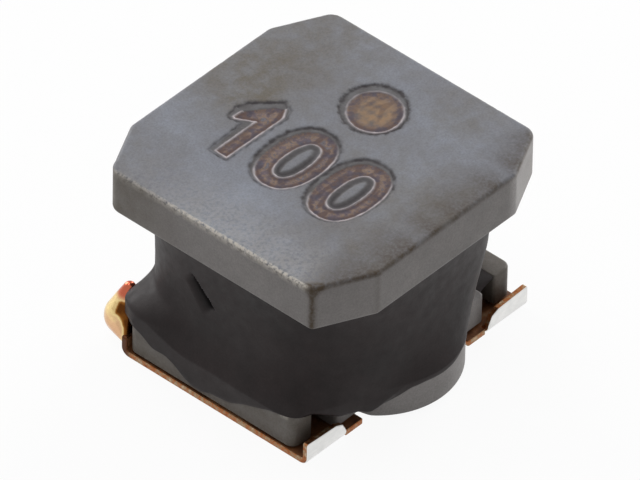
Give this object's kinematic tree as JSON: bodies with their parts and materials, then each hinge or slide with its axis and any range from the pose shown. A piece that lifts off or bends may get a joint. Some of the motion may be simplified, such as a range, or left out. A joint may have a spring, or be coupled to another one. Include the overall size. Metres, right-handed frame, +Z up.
{
  "type": "shielded surface-mount power inductor",
  "caption": "Small shielded surface-mount power inductor: drum-shaped ferrite core with a clipped square top plate, dark resin around the hidden winding, folded clip terminals under the base.",
  "frame": {"origin": "centre of the base, level with the undersides of the terminals", "axes": "+Z up through the core's axis, X across from one terminal to the other, +Y towards the ends of the terminals that carry the welds"},
  "size_m": [0.006, 0.006, 0.0043],
  "materials": {
    "ferrite": "ground sintered ferrite, faintly satin, with burnt-in marks on the top face",
    "enamelled_copper": "copper under clear enamel",
    "magnetic_resin": "satin epoxy filled with magnetic powder",
    "tinned_copper": "satin tin plating over copper sheet, bare copper on the cut edges",
    "weld_metal": "glossy re-melted copper and tin",
    "adhesive": "cured adhesive"
  },
  "bodies": {
    "root": {"ferrite_core": "ferrite", "winding": "enamelled_copper", "resin_coating": "magnetic_resin", "terminal_left": "tinned_copper", "terminal_right": "tinned_copper", "weld_left": "weld_metal", "weld_right": "weld_metal", "adhesive_left": "adhesive", "adhesive_right": "adhesive"}
  },
  "joints": []
}
